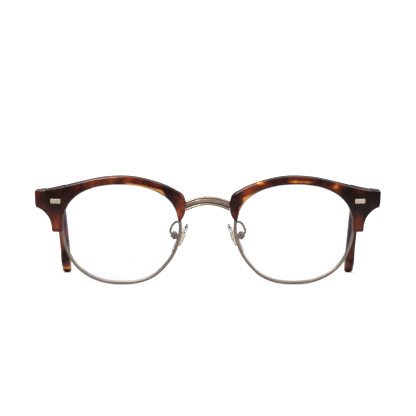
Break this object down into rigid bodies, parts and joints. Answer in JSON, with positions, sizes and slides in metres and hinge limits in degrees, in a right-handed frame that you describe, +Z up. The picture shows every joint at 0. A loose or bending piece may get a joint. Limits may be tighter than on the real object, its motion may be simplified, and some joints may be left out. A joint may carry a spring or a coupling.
{
  "type": "half rim eyeglasses",
  "caption": "Half rim eyeglasses: acetate brows over metal eyewires, arched metal bridge, rocking nose pads on wire arms, and folding acetate temples on barrel hinges.",
  "frame": {"origin": "on the surface the open frame stands on, under the middle of its bounding box", "axes": "+X towards the wearer's left, +Y from the front back along the open temples, +Z up"},
  "size_m": [0.143, 0.1455, 0.0451],
  "materials": {
    "tortoise_acetate": "polished tortoise",
    "pewter": "engraved antique silver",
    "steel": "satin",
    "champagne_metal": "satin",
    "gold_metal": "polished",
    "core_steel": "satin",
    "lens_clear": "anti-reflection coated",
    "clear_silicone": "clear"
  },
  "bodies": {
    "front": {"bridge": "pewter", "bridge_screws": "steel", "rim_lock_screws": "steel", "brow_left": "tortoise_acetate", "eyewire_left": "pewter", "rim_lock_left": "steel", "lens_left": "lens_clear", "plaque_left": "champagne_metal", "front_hinge_left": "steel", "hinge_screw_left": "steel", "pad_arm_left": "steel", "pad_screw_left": "steel", "brow_right": "tortoise_acetate", "eyewire_right": "pewter", "rim_lock_right": "steel", "lens_right": "lens_clear", "plaque_right": "champagne_metal", "front_hinge_right": "steel", "hinge_screw_right": "steel", "pad_arm_right": "steel", "pad_screw_right": "steel"},
    "temple_left": {"temple_left": "tortoise_acetate", "core_wire_left": "core_steel", "temple_hinge_left": "steel", "temple_rivets_left": "steel"},
    "temple_right": {"temple_right": "tortoise_acetate", "core_wire_right": "core_steel", "temple_hinge_right": "steel", "temple_rivets_right": "steel"},
    "nose_pad_left": {"nose_pad_left": "clear_silicone", "pad_core_left": "gold_metal"},
    "nose_pad_right": {"nose_pad_right": "clear_silicone", "pad_core_right": "gold_metal"}
  },
  "joints": [
    {"name": "temple_left_fold", "type": "hinge", "parent": "front", "child": "temple_left", "pos_m": [0.0657, -0.06157, 0.03535], "axis": [0, 0, 1], "range_deg": [0, 77.5]},
    {"name": "temple_right_fold", "type": "hinge", "parent": "front", "child": "temple_right", "pos_m": [-0.0657, -0.06157, 0.03535], "axis": [0, 0, -1], "range_deg": [0, 89.3]},
    {"name": "nose_pad_left_rock", "type": "hinge", "parent": "front", "child": "nose_pad_left", "pos_m": [0.0133, -0.06063, 0.02003], "axis": [-0.1229, -0.9715, -0.2025], "range_deg": [-12, 12]},
    {"name": "nose_pad_right_rock", "type": "hinge", "parent": "front", "child": "nose_pad_right", "pos_m": [-0.0133, -0.06063, 0.02003], "axis": [-0.1229, 0.9715, 0.2025], "range_deg": [-12, 12]}
  ]
}
